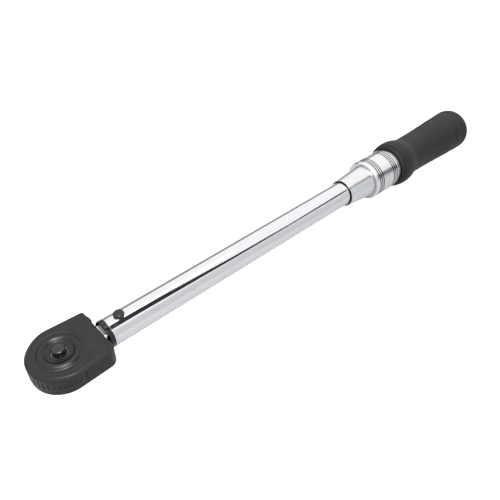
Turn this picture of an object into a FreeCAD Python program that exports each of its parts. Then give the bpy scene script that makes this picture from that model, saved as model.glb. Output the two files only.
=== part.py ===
"""Click-type torque wrench with a micrometer handle, a square drive and a dial-reversed ratchet head.

Frame: millimetres, +Z up. The origin is the centre of the drive's shoulder, where a socket's end
face seats. The square drive points along -Z and the handle lies along +X.
"""
import FreeCAD, Part
import math
import os
import re
import Sketcher

doc = FreeCAD.newDocument("torque_wrench")
sheet = doc.addObject("Spreadsheet::Sheet", "Sizes")

SIZES = {
    # shared places
    "axis_height": 10.5,        # tube axis above the drive's shoulder
    "pivot_x": 46.6,            # pin on which the ratchet head swings
    "gap": 0.3,                 # space between curved faces that do not touch
    "fit_gap": 0.05,            # radial clearance of a running fit
    # main tube
    "tube_front": 35.8,
    "tube_rear": 372.0,
    "tube_r": 11.1,
    "bore_r": 9.5,
    "tube_bevel": 0.4,
    "flute_r": 1.5,
    "flute_centre_r": 12.1,
    "flute_front": 316.0,
    "flute_long": 34.0,
    # neck bush and pivot pin
    "bush_front": 32.0,
    "bush_r": 11.0,
    "bush_round": 1.2,
    "pin_r": 3.5,
    "pin_head_r": 4.1,
    "pin_top": 14.0,
    "pin_low": -11.7,
    "pin_head_foot": 9.0,
    "pin_round": 1.8,
    "pin_bevel": 0.7,
    # ratchet head forging
    "core_r": 19.9,
    "core_low": 4.8,
    "core_top": 15.4,
    "gear_floor": 6.2,
    "gear_room_r": 12.5,
    "shoulder_wide": 28.0,
    "shoulder_front": 8.0,
    "shoulder_rear": 28.0,
    "neck_front": 21.0,
    "neck_rear": 56.0,
    "neck_wide": 14.4,
    "neck_high": 11.6,
    "neck_round": 2.5,
    "beam_rear": 105.0,
    "beam_wide": 12.0,
    "beam_high": 11.0,
    "beam_bevel": 2.0,
    "pawl_room_r": 19.0,
    "pawl_room_angle": 96.0,
    "lug_room_r": 20.6,
    "lug_room_angle": 62.0,
    "washer_thick": 0.6,
    "snap_gap_angle": 40.0,
    "ring_slot_r": 13.2,
    "ring_slot_low": 14.6,
    "ring_slot_top": 15.2,
    # lower housing and top cover
    "housing_low": 2.0,
    "housing_r": 22.5,
    "housing_rear": 31.2,
    "housing_rear_half": 21.4,
    "housing_corner_r": 6.8,
    "housing_relief_x": 29.8,
    "housing_relief_wide": 24.0,
    "housing_round": 1.4,
    "seam_z": 17.2,
    "cover_r": 23.1,
    "cover_top": 20.0,
    "cover_rear": 29.7,
    "cover_rear_half": 21.2,
    "cover_corner_r": 2.4,
    "cover_bevel": 1.2,
    "boss_r": 14.9,
    "boss_top": 21.6,
    "boss_bore_r": 9.6,
    "boss_bore_bevel": 0.6,
    "boss_crest_wide": 2.3,
    "boss_crest_drop": 0.5,
    "boss_skirt": 0.9,
    "moat_r": 16.2,
    "moat_deep": 0.35,
    "long_screw_x": 25.0,
    "long_screw_y": 16.4,
    "short_screw_ring_r": 16.3,
    "screw_r": 1.5,
    "screw_head_r": 2.8,
    "screw_head_high": 1.6,
    "screw_socket_deep": 1.1,
    "cover_screw_top": 18.6,
    "housing_screw_top": 9.0,
    # reversing dial
    "dial_in_r": 20.2,
    "dial_r": 22.95,
    "dial_low": 7.5,
    "dial_top": 16.9,
    "dial_open_half": 68.0,
    "dial_turn": 20.0,
    "web_low": 15.8,
    "web_in_r": 14.0,
    "lug_in_r": 19.2,
    "lug_low": 9.0,
    "lug_angle": 14.0,
    "rib_count": 40,
    "valley_r": 1.15,
    "valley_out": 0.45,
    "valley_end": 1.9,
    "leaf_in_r": 18.75,
    "leaf_low": 9.5,
    "leaf_top": 14.5,
    # drive gear and square
    "square": 12.7,
    "square_long": 15.5,
    "square_tip_bevel": 1.2,
    "square_edge_bevel": 0.7,
    "hub_low_r": 9.8,
    "gear_low": 7.0,
    "gear_top": 14.4,
    "gear_tip_r": 12.0,
    "gear_root_r": 10.9,
    "gear_teeth": 36,
    "gear_gap_half": 0.84,
    "hub_top_r": 9.3,
    "hub_top": 18.6,
    "button_room_r": 4.77,
    "button_room_low": 4.5,
    "pin_room_r": 2.35,
    "pin_room_low": -14.3,
    "ball_z": -8.0,
    "ball_r": 2.4,
    "ball_proud": 0.8,
    # quick release
    "button_r": 4.47,
    "button_low": 14.0,
    "button_top": 24.0,
    "button_round": 0.9,
    "release_pin_r": 2.0,
    "release_pin_low": -11.0,
    "release_pin_top": 16.0,
    "waist_r": 1.1,
    "waist_low": -7.4,
    "waist_top": -2.5,
    "release_coil_r": 3.35,
    "release_wire_r": 0.4,
    "release_turns": 5,
    # pawl
    "pawl_pivot_x": 16.0,
    "pawl_pin_r": 1.25,
    "pawl_low": 7.2,
    "pawl_high": 7.0,
    "pawl_in_r": 13.35,
    "pawl_out_r": 18.2,
    "pawl_half_angle": 38.0,
    "relief_angle": 46.0,
    "relief_centre_r": 21.3,
    "relief_r": 6.0,
    "toe_angle": 30.0,
    "toe_flank": 30.0,
    "toe_half_tip": 0.12,
    "toe_tip_r": 11.3,
    "pawl_ratio": 0.395,
    # click mechanism
    "block_gap": 0.15,
    "block_long": 7.0,
    "block_wide": 8.0,
    "slider_r": 9.2,
    "plunger_long": 11.7,
    "spigot_r": 5.2,
    "spigot_long": 8.0,
    # main spring, seat, ball, screw and nut
    "spring_coil_r": 7.2,
    "spring_wire_r": 1.7,
    "spring_turns": 18,
    "coil_play": 0.4,
    "seat_front": 288.0,
    "seat_long": 8.0,
    "thrust_ball_r": 3.0,
    "ball_seat_deep": 2.0,
    "load_screw_r": 5.0,
    "load_screw_tip_r": 4.0,
    "load_tip_long": 4.0,
    "load_flange_r": 9.0,
    "load_flange_long": 6.0,
    "load_nut_front": 350.0,
    "load_nut_long": 20.0,
    "nut_pin_r": 1.5,
    "nut_pin_in_r": 6.0,
    "nut_pin_out_r": 10.9,
    # handle
    "thimble_front": 287.4,
    "thimble_front_r": 12.83,
    "mouth_r": 12.3,
    "mouth_deep": 8.0,
    "thimble_rear": 317.6,
    "thimble_rear_r": 15.2,
    "handle_bore_r": 11.4,
    "sleeve_r": 14.4,
    "grip_seat_front": 366.0,
    "grip_seat_r": 16.5,
    "chamber_front": 392.0,
    "chamber_r": 13.0,
    "wall_front": 452.0,
    "wall_rear": 463.0,
    "lock_ball_x": 333.0,
    "lock_ball_r": 1.45,
    "lock_ball_centre_r": 12.9,
    "lock_hole_start": 0.7,
    "ring_front": 317.9,
    "ring_r": 18.7,
    "ring_front_r": 17.3,
    "ring_front_bevel": 1.4,
    "ring_shoulder_long": 3.0,
    "ring_shoulder": 349.0,
    "ring_rear_r": 17.7,
    "ring_rear": 360.5,
    "ring_recess_front": 350.0,
    "ring_groove_wide": 1.1,
    "ring_groove_deep": 0.6,
    "ring_groove_pitch": 2.5,
    "ring_front_groove": 321.5,
    "ring_rear_groove": 342.0,
    "lock_coil_r": 15.6,
    "lock_wire_r": 0.55,
    "lock_turns": 4,
    "grip_front": 354.7,
    "grip_mouth_r": 18.0,
    "grip_rear": 472.0,
    "end_nut_long": 5.0,
    "end_nut_r": 7.5,
    "end_cap_long": 2.5,
}

for row, (alias, value) in enumerate(SIZES.items(), start=1):
    sheet.set(f"A{row}", alias)
    sheet.set(f"B{row}", str(value))
    sheet.setAlias(f"B{row}", alias)
doc.recompute()

WORD = re.compile(r"\b(" + "|".join(sorted(SIZES, key=len, reverse=True)) + r")\b")
V = FreeCAD.Vector
ALONG_X = FreeCAD.Rotation(V(0, 1, 0), 90)
parts = {}


def in_sheet(text):
    """The expression with every size name pointing at its cell in the sheet."""
    return WORD.sub(r"Sizes.\1", str(text))


def number(text):
    """The value that an expression of size names has in the sheet."""
    return float(sheet.evalExpression(in_sheet(text)))


def bind(thing, **expressions):
    """Tie properties to the sheet. A double underscore in a name stands for a dot."""
    for name, text in expressions.items():
        thing.setExpression(name.replace("__", "."), in_sheet(text))
    return thing


def place(thing, x=0, y=0, z=0, rotation=None):
    """Give a thing its Placement, with each coordinate tied to the sheet."""
    base = V(number(x), number(y), number(z))
    thing.Placement = FreeCAD.Placement(base, rotation or FreeCAD.Rotation())
    return bind(thing, Placement__Base__x=x, Placement__Base__y=y, Placement__Base__z=z)


def cylinder(name, radius, height, x=0, y=0, z=0, rotation=None):
    solid = doc.addObject("Part::Cylinder", name)
    bind(solid, Radius=radius, Height=height)
    return place(solid, x, y, z, rotation)


def box(name, length, width, height, x=0, y=0, z=0):
    """A box that starts at x and z and is centred on y."""
    solid = doc.addObject("Part::Box", name)
    bind(solid, Length=length, Width=width, Height=height)
    return place(solid, x, f"{y} - ({width}) / 2", z)


def sector(name, radius, height, angle, z, middle=0):
    """A pie slice about the drive axis, centred on the direction middle, in degrees."""
    solid = cylinder(name, radius, height, 0, 0, z)
    bind(solid, Angle=angle)
    start = middle - number(angle) / 2
    solid.Placement = FreeCAD.Placement(solid.Placement.Base, FreeCAD.Rotation(V(0, 0, 1), start))
    return solid


def cut(name, base, *tools):
    """Base with every tool taken away."""
    tool = tools[0] if len(tools) == 1 else fuse(name + "_tools", *tools)
    result = doc.addObject("Part::Cut", name)
    result.Base = base
    result.Tool = tool
    return result


def fuse(name, *solids):
    result = doc.addObject("Part::MultiFuse", name)
    result.Shapes = list(solids)
    return result


def group(name, *solids):
    """Separate solids that share one node."""
    result = doc.addObject("Part::Compound", name)
    result.Links = list(solids)
    return result


def finish(node, thing):
    """Name a finished sub-part."""
    thing.Label = node
    parts[node] = thing
    return thing


def sketch_in(body, name, plane_role):
    """An empty sketch on one of the body's own origin planes."""
    sketch = body.newObject("Sketcher::SketchObject", name)
    plane = next(f for f in body.Origin.OriginFeatures if f.Role == plane_role)
    sketch.AttachmentSupport = [(plane, "")]
    sketch.MapMode = "FlatFace"
    return sketch


def pin_point(sketch, line, end, across, up):
    """Hold one end of a line at a point whose coordinates come from the sheet."""
    for kind, text in (("DistanceX", across), ("DistanceY", up)):
        index = sketch.addConstraint(Sketcher.Constraint(kind, line, end, number(text)))
        sketch.setExpression(f"Constraints[{index}]", in_sheet(text))


def closed_outline(sketch, points):
    """A closed chain of lines through points given as pairs of expressions."""
    count = len(points)
    spots = [V(number(across), number(up), 0) for across, up in points]
    for i in range(count):
        sketch.addGeometry(Part.LineSegment(spots[i], spots[(i + 1) % count]))
    for i in range(count):
        sketch.addConstraint(Sketcher.Constraint("Coincident", i, 2, (i + 1) % count, 1))
    for i, (across, up) in enumerate(points):
        pin_point(sketch, i, 1, across, up)


def turned(name, points, axis="X", z=0, x=0):
    """A body turned about the X or Z axis. Points are (along X, radius) or (radius, along Z)."""
    body = doc.addObject("PartDesign::Body", name)
    sketch = sketch_in(body, name + "_profile", "XZ_Plane")
    closed_outline(sketch, points)
    turn = body.newObject("PartDesign::Revolution", name + "_turn")
    turn.Profile = sketch
    turn.ReferenceAxis = (sketch, ["H_Axis" if axis == "X" else "V_Axis"])
    turn.Angle = 360
    return place(body, x, 0, z)


def d_plate(name, radius, rear, rear_half, low, high):
    """A D-shaped plate: a round nose about the drive axis, tangent sides and a straight rear edge."""
    body = doc.addObject("PartDesign::Body", name)
    sketch = sketch_in(body, name + "_outline", "XY_Plane")
    nose, back, half = number(radius), number(rear), number(rear_half)
    reach = math.hypot(back, half)
    touch = math.atan2(half, back) + math.acos(nose / reach)
    upper = V(nose * math.cos(touch), nose * math.sin(touch), 0)
    lower = V(upper.x, -upper.y, 0)
    circle = Part.Circle(V(0, 0, 0), V(0, 0, 1), nose)
    sketch.addGeometry(Part.ArcOfCircle(circle, touch, 2 * math.pi - touch))
    sketch.addGeometry(Part.LineSegment(lower, V(back, -half, 0)))
    sketch.addGeometry(Part.LineSegment(V(back, -half, 0), V(back, half, 0)))
    sketch.addGeometry(Part.LineSegment(V(back, half, 0), upper))
    sketch.addConstraint(Sketcher.Constraint("Coincident", 0, 3, -1, 1))
    sketch.addConstraint(Sketcher.Constraint("Tangent", 0, 2, 1, 1))
    sketch.addConstraint(Sketcher.Constraint("Coincident", 1, 2, 2, 1))
    sketch.addConstraint(Sketcher.Constraint("Coincident", 2, 2, 3, 1))
    sketch.addConstraint(Sketcher.Constraint("Tangent", 3, 2, 0, 1))
    index = sketch.addConstraint(Sketcher.Constraint("Radius", 0, nose))
    sketch.setExpression(f"Constraints[{index}]", in_sheet(radius))
    pin_point(sketch, 2, 1, rear, f"-({rear_half})")
    pin_point(sketch, 2, 2, rear, rear_half)
    pad = body.newObject("PartDesign::Pad", name + "_pad")
    pad.Profile = sketch
    bind(pad, Length=f"{high} - ({low})")
    place(body, 0, 0, low)
    doc.recompute()
    return body


def edges_where(thing, test):
    """The names of a feature's edges whose middle point passes the test."""
    names = []
    for i, edge in enumerate(thing.Shape.Edges, start=1):
        middle = edge.valueAt((edge.FirstParameter + edge.LastParameter) / 2)
        if test(middle, edge):
            names.append(f"Edge{i}")
    return names


def dress(body, kind, test, **sizes):
    """Add a Fillet or Chamfer to the edges of a body's tip that pass the test."""
    base = body.Tip
    feature = body.newObject("PartDesign::" + kind, f"{body.Name}_{kind}_{len(body.Group)}")
    feature.Base = (base, edges_where(base, test))
    bind(feature, **sizes)
    doc.recompute()
    return feature


def coil(name, coil_r, wire_r, length, turns):
    """An open coil of round wire along +Z, from the middle of its first turn's wire."""
    helix = doc.addObject("Part::Helix", name + "_line")
    bind(helix, Radius=coil_r, Height=length, Pitch=f"({length}) / ({turns})")
    wire = doc.addObject("Part::Circle", name + "_wire")
    bind(wire, Radius=wire_r)
    place(wire, coil_r, 0, 0, FreeCAD.Rotation(V(1, 0, 0), 90))
    sweep = doc.addObject("Part::Sweep", name)
    sweep.Sections = [wire]
    sweep.Spine = (helix, ["Edge1"])
    sweep.Solid = True
    sweep.Frenet = True
    return sweep


def ring_of(radius, count, first=0.0):
    """Points evenly spaced on a circle, as (angle in degrees, across, up)."""
    for i in range(count):
        angle = first + 360.0 * i / count
        across = radius * math.cos(math.radians(angle))
        yield angle, across, radius * math.sin(math.radians(angle))


# ---------------------------------------------------------------- tube and what is fixed to it

def make_tube():
    shell = turned("tube_shell", [
        ("tube_front", "bore_r"),
        ("tube_rear", "bore_r"),
        ("tube_rear", "tube_r - tube_bevel"),
        ("tube_rear - tube_bevel", "tube_r"),
        ("tube_front + tube_bevel", "tube_r"),
        ("tube_front", "tube_r - tube_bevel"),
    ], z="axis_height")
    pin_head_hole = cylinder("pin_head_hole", "pin_head_r", "tube_r", "pivot_x", 0, "axis_height")
    pin_hole = cylinder("pin_hole", "pin_r", "2 * tube_r", "pivot_x", 0, "axis_height - tube_r - 1")
    nut_x = "load_nut_front + load_nut_long / 2"
    nut_pin_hole = cylinder("nut_pin_hole", "nut_pin_r", "2 * tube_r + 2", nut_x, 0,
                            "axis_height - tube_r - 1")
    flutes = [
        cylinder(f"flute_{i}", "flute_r", "flute_long", "flute_front", across,
                 f"axis_height + {up}", ALONG_X)
        for i, (_, across, up) in enumerate(ring_of(number("flute_centre_r"), 12, 15.0))
    ]
    finish("tube", cut("tube_cut", shell, pin_head_hole, pin_hole, nut_pin_hole, *flutes))


def rounded_bar(name, length, wide, high, x, kind, edge_size):
    """A bar along X, centred on the tube axis, with its four long edges rounded or bevelled."""
    bar = box(name + "_bar", length, wide, high, x, 0, f"axis_height - ({high}) / 2")
    doc.recompute()
    dressed = doc.addObject("Part::" + kind, name)
    dressed.Base = bar
    size = number(edge_size)
    long_edges = [
        (i, size, size)
        for i, edge in enumerate(bar.Shape.Edges, start=1)
        if abs(edge.tangentAt(edge.FirstParameter).x) > 0.9
    ]
    dressed.Edges = long_edges
    return dressed


def make_neck_bush():
    ring = turned("bush_ring", [
        ("bush_front", "0"),
        ("tube_front", "0"),
        ("tube_front", "bush_r"),
        ("bush_front + bush_round", "bush_r"),
        ("bush_front + bush_round * 0.3", "bush_r - bush_round * 0.3"),
        ("bush_front", "bush_r - bush_round"),
    ], z="axis_height")
    room = rounded_bar("bush_room", "tube_front - bush_front + 2", "neck_wide + 1.6", "neck_high + 1.2",
                       "bush_front - 1", "Fillet", "neck_round + 0.6")
    finish("neck_bush", cut("bush_cut", ring, room))


def make_pivot_pin():
    finish("pivot_pin", turned("pivot_pin_body", [
        ("0", "pin_low"),
        ("pin_r - pin_bevel", "pin_low"),
        ("pin_r", "pin_low + pin_bevel"),
        ("pin_r", "pin_head_foot"),
        ("pin_head_r", "pin_head_foot"),
        ("pin_head_r", "pin_top - pin_round"),
        ("pin_head_r - pin_round * 0.3", "pin_top - pin_round * 0.3"),
        ("pin_head_r - pin_round", "pin_top"),
        ("0", "pin_top"),
    ], axis="Z", z="axis_height", x="pivot_x"))


def make_load_nut():
    sleeve = turned("load_nut_sleeve", [
        ("load_nut_front", "load_screw_r + fit_gap"),
        ("load_nut_front + load_nut_long", "load_screw_r + fit_gap"),
        ("load_nut_front + load_nut_long", "bore_r"),
        ("load_nut_front", "bore_r"),
    ], z="axis_height")
    nut_x = "load_nut_front + load_nut_long / 2"
    hole = cylinder("load_nut_hole", "nut_pin_r", "2 * tube_r + 2", nut_x, 0, "axis_height - tube_r - 1")
    finish("load_nut", cut("load_nut_cut", sleeve, hole))
    long = "nut_pin_out_r - nut_pin_in_r"
    upper = cylinder("nut_pin_upper", "nut_pin_r", long, nut_x, 0, "axis_height + nut_pin_in_r")
    lower = cylinder("nut_pin_lower", "nut_pin_r", long, nut_x, 0, "axis_height - nut_pin_out_r")
    finish("load_nut_pins", group("nut_pin_pair", upper, lower))


def make_main_spring():
    front = "beam_rear + 2 * block_gap + block_long + plunger_long"
    long = f"seat_front - ({front}) - 2 * spring_wire_r - coil_play"
    spring = coil("main_coil", "spring_coil_r", "spring_wire_r", long, "spring_turns")
    start = f"{front} + spring_wire_r + coil_play / 2"
    finish("main_spring", place(spring, start, 0, "axis_height", ALONG_X))


# ---------------------------------------------------------------- ratchet head

def head_screws():
    """The two long screws at the rear corners and the three short ones round the nose."""
    long_places = [("long_screw_x", "long_screw_y"), ("long_screw_x", "-long_screw_y")]
    short_places = [(across, up) for _, across, up in ring_of(number("short_screw_ring_r"), 6)][2:5]
    return long_places, short_places


def screw(name, x, y, top, radius="screw_r"):
    """A screw whose head is sunk in the underside of the housing."""
    shank = cylinder(name + "_shank", radius, f"{top} - housing_low", x, y, "housing_low")
    top_of_head = cylinder(name + "_head", "screw_head_r", "screw_head_high", x, y, "housing_low")
    return fuse(name, shank, top_of_head)


def make_ratchet_head():
    core = cylinder("core_round", "core_r", "core_top - core_low", 0, 0, "core_low")
    shoulder = box("core_shoulder", "shoulder_rear - shoulder_front", "shoulder_wide", "core_top - core_low",
                   "shoulder_front", 0, "core_low")
    neck = rounded_bar("neck", "neck_rear - neck_front", "neck_wide", "neck_high", "neck_front",
                       "Fillet", "neck_round")
    beam = rounded_bar("beam", "beam_rear - neck_rear + 2", "beam_wide", "beam_high", "neck_rear - 2",
                       "Chamfer", "beam_bevel")
    forging = fuse("head_forging", core, shoulder, neck, beam)
    rooms = [
        cylinder("gear_room", "gear_room_r", "core_top - gear_floor + 1", 0, 0, "gear_floor"),
        cylinder("hub_hole", "hub_low_r + fit_gap", 10, 0, 0, 0),
        cylinder("snap_ring_slot", "ring_slot_r", "ring_slot_top - ring_slot_low", 0, 0, "ring_slot_low"),
        sector("pawl_room", "pawl_room_r", "core_top - gear_floor", "pawl_room_angle", "gear_floor"),
        sector("lug_room", "lug_room_r", "core_top - gear_floor", "lug_room_angle", "gear_floor"),
        cylinder("pivot_bore", "pin_r + fit_gap", 40, "pivot_x", 0, "axis_height - 20"),
        cylinder("pawl_pin_hole", "pawl_pin_r", 4, "pawl_pivot_x", 0, "core_low"),
    ]
    _, short_places = head_screws()
    for i, (x, y) in enumerate(short_places):
        rooms.append(cylinder(f"core_screw_hole_{i}", "screw_r", "housing_screw_top", x, y, 0))
    finish("ratchet_head", cut("head_cut", forging, *rooms))


def corner_test(x_limit):
    return lambda middle, edge: middle.x > x_limit and abs(edge.tangentAt(edge.FirstParameter).z) > 0.9


def make_lower_housing():
    shell = d_plate("housing_shell", "housing_r", "housing_rear", "housing_rear_half", "housing_low",
                    "seam_z")
    dress(shell, "Fillet", corner_test(number("housing_rear") - 1), Radius="housing_corner_r")
    dress(shell, "Fillet", lambda middle, edge: abs(middle.z) < 0.01, Radius="housing_round")
    dial_room = number("dial_open_half") - number("dial_turn") - 3
    full = cylinder("dial_room_round", "dial_r + gap", "seam_z - dial_low + gap", 0, 0, "dial_low - gap")
    spared = sector("dial_room_spared", "dial_r + 2", "seam_z - dial_low + 1", str(2 * dial_room),
                    "dial_low - gap")
    dial_space = cut("dial_room", full, spared)
    rooms = [
        dial_space,
        cylinder("core_room", "core_r", "seam_z - core_low + 1", 0, 0, "core_low"),
        cylinder("web_room", "dial_r + gap", "seam_z - web_low + 1", 0, 0, "web_low - 0.4"),
        box("shoulder_room", "shoulder_rear", "shoulder_wide", "seam_z - core_low + 1", 0, 0, "core_low"),
        box("rear_relief", 4, "housing_relief_wide", "seam_z", "housing_relief_x", 0, 0),
        box("neck_room", 12, "neck_wide", "seam_z - core_low + 1", "neck_front", 0,
            "axis_height - neck_high / 2"),
        cylinder("hub_room", "hub_low_r + 0.4", 10, 0, 0, 0),
    ]
    long_places, short_places = head_screws()
    for i, (x, y) in enumerate(long_places):
        rooms.append(screw(f"long_hole_{i}", x, y, "cover_top"))
    for i, (x, y) in enumerate(short_places):
        rooms.append(screw(f"short_hole_{i}", x, y, "cover_top"))
    finish("lower_housing", cut("housing_cut", shell, *rooms))


def make_top_cover():
    plate = d_plate("cover_plate", "cover_r", "cover_rear", "cover_rear_half", "seam_z", "cover_top")
    high = number("cover_top - seam_z")
    dress(plate, "Fillet", corner_test(number("cover_rear") - 1), Radius="cover_corner_r")
    dress(plate, "Chamfer", lambda middle, edge: abs(middle.z - high) < 0.01, Size="cover_bevel")
    boss = turned("cover_boss", [
        ("boss_bore_r", "seam_z"),
        ("boss_bore_r", "boss_top - boss_bore_bevel"),
        ("boss_bore_r + boss_bore_bevel", "boss_top"),
        ("boss_bore_r + boss_bore_bevel + boss_crest_wide", "boss_top"),
        ("boss_r - boss_skirt", "boss_top - boss_crest_drop"),
        ("boss_r", "cover_top"),
        ("boss_r", "seam_z"),
    ], axis="Z")
    whole = fuse("cover_whole", plate, boss)
    moat = cut("cover_moat", cylinder("moat_out", "moat_r", 4, 0, 0, "cover_top - moat_deep"),
               cylinder("moat_in", "boss_r", 4, 0, 0, "cover_top - moat_deep"))
    bore = cylinder("cover_bore", "boss_bore_r", 30, 0, 0, 0)
    long_places, _ = head_screws()
    holes = [
        cylinder(f"cover_screw_hole_{i}", "screw_r", "cover_screw_top", x, y, 0)
        for i, (x, y) in enumerate(long_places)
    ]
    finish("top_cover", cut("cover_cut", whole, moat, bore, *holes))


def hex_socket(name, x, y):
    """The hexagonal hole in a screw's head."""
    socket = doc.addObject("Part::Prism", name)
    socket.Polygon = 6
    bind(socket, Circumradius="screw_r * 0.85", Height="screw_socket_deep + 0.1")
    return place(socket, x, y, "housing_low - 0.1")


def make_screws():
    long_places, short_places = head_screws()
    for node, places, top in (
        ("cover_screws", long_places, "cover_screw_top"),
        ("housing_screws", short_places, "housing_screw_top"),
    ):
        solids = []
        for i, (x, y) in enumerate(places):
            name = f"{node}_{i}"
            solids.append(cut(name + "_cut", screw(name, x, y, top), hex_socket(name + "_hex", x, y)))
        finish(node, group(node + "_group", *solids))


def make_head_trim():
    disc = cylinder("washer_disc", "gear_room_r - gap", "washer_thick", 0, 0, "gear_floor")
    hole = cylinder("washer_hole", "hub_low_r + gap", 4, 0, 0, "gear_floor - 1")
    finish("thrust_washer", cut("washer_cut", disc, hole))
    low, high = "ring_slot_low + 0.05", "ring_slot_top - ring_slot_low - 0.1"
    ring = cylinder("snap_disc", "ring_slot_r - 0.1", high, 0, 0, low)
    opening = [
        cylinder("snap_hole", "hub_top_r + 0.5", 2, 0, 0, "ring_slot_low - 0.5"),
        sector("snap_gap", "ring_slot_r + 2", 2, "snap_gap_angle", "ring_slot_low - 0.5"),
    ]
    finish("snap_ring", cut("snap_cut", ring, *opening))
    finish("pawl_pin", cylinder("pawl_pin_solid", "pawl_pin_r", "core_top - core_low - 0.4",
                                "pawl_pivot_x", 0, "core_low"))


# ---------------------------------------------------------------- reversing dial and pawl

def make_reversing_dial():
    rim_high = "dial_top - dial_low"
    rim = cylinder("dial_rim", "dial_r", rim_high, 0, 0, "dial_low")
    rim_bore = cylinder("dial_rim_bore", "dial_in_r", "dial_top", 0, 0, "dial_low - 1")
    missing = sector("dial_rim_missing", "dial_r + 2", "dial_top", "2 * dial_open_half", "dial_low - 1")
    count = int(number("rib_count"))
    valleys = []
    for i, (_, x, y) in enumerate(ring_of(number("dial_r + valley_out"), count, 180.0 / count)):
        valleys.append(cylinder(f"rib_valley_{i}", "valley_r", f"{rim_high} - 2 * valley_end", x, y,
                                "dial_low + valley_end"))
        for end, z in (("low", "dial_low + valley_end"), ("top", "dial_top - valley_end")):
            ball = doc.addObject("Part::Sphere", f"rib_valley_{end}_{i}")
            bind(ball, Radius="valley_r")
            valleys.append(place(ball, x, y, z))
    shaped_rim = cut("dial_rim_shaped", rim, rim_bore, missing, *valleys)
    web = cut("dial_web", cylinder("dial_web_disc", "dial_in_r + 0.1", "dial_top - web_low", 0, 0, "web_low"),
              cylinder("dial_web_hole", "web_in_r", "dial_top", 0, 0, "web_low - 1"))
    lug = cut("dial_lug", sector("dial_lug_slice", "dial_in_r", "web_low - lug_low + 0.5", "lug_angle",
                                 "lug_low"),
              cylinder("dial_lug_bore", "lug_in_r", "dial_top", 0, 0, "lug_low - 1"))
    finish("reversing_dial", fuse("dial_whole", shaped_rim, web, lug))
    leaf = cut("leaf_cut", sector("leaf_slice", "lug_in_r", "leaf_top - leaf_low", "lug_angle", "leaf_low"),
               cylinder("leaf_bore", "leaf_in_r", "dial_top", 0, 0, "leaf_low - 1"))
    finish("pawl_spring", leaf)


def make_pawl():
    """A rocker with one tooth at each end, clear of the gear while it stands in the middle.

    Each tooth is drawn where it meshes with the gear and turned back about the pin to the middle.
    """
    block = cut("pawl_block", sector("pawl_slice", "pawl_out_r", "pawl_high", "2 * pawl_half_angle",
                                     "pawl_low"),
                cylinder("pawl_block_bore", "pawl_in_r", "core_top", 0, 0, "pawl_low - 1"))
    relief = []
    centre_r = number("relief_centre_r")
    for side in (-1, 1):
        angle = math.radians(side * number("relief_angle"))
        relief.append(cylinder(f"pawl_relief_{side + 1}", "relief_r", "core_top",
                               centre_r * math.cos(angle), centre_r * math.sin(angle), "pawl_low - 1"))
    arms = cut("pawl_arms", block, *relief)
    teeth = []
    pivot = V(number("pawl_pivot_x"), 0, 0)
    engaged = number("dial_turn * pawl_ratio")
    tip_r, root_r = number("toe_tip_r"), number("pawl_in_r + 0.4")
    half_tip = number("toe_half_tip")
    half_root = half_tip + (root_r - tip_r) * math.tan(math.radians(number("toe_flank")))
    for side in (-1, 1):
        angle = math.radians(side * number("toe_angle"))
        out = V(math.cos(angle), math.sin(angle), 0)
        across = V(-out.y, out.x, 0)
        corners = [
            out * tip_r - across * half_tip,
            out * tip_r + across * half_tip,
            out * root_r + across * half_root,
            out * root_r - across * half_root,
        ]
        turn_back = FreeCAD.Rotation(V(0, 0, 1), -side * engaged)
        corners = [pivot + turn_back.multVec(corner - pivot) for corner in corners]
        tooth = doc.addObject("Part::Feature", f"pawl_tooth_{side + 1}")
        face = Part.Face(Part.makePolygon(corners + corners[:1]))
        tooth.Shape = face.extrude(V(0, 0, number("pawl_high")))
        place(tooth, 0, 0, "pawl_low")
        teeth.append(tooth)
    body = fuse("pawl_body", arms, *teeth)
    bore = cylinder("pawl_bore", "pawl_pin_r + fit_gap", "core_top", "pawl_pivot_x", 0, "pawl_low - 1")
    finish("pawl", cut("pawl_cut", body, bore))


# ---------------------------------------------------------------- drive and quick release

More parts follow.
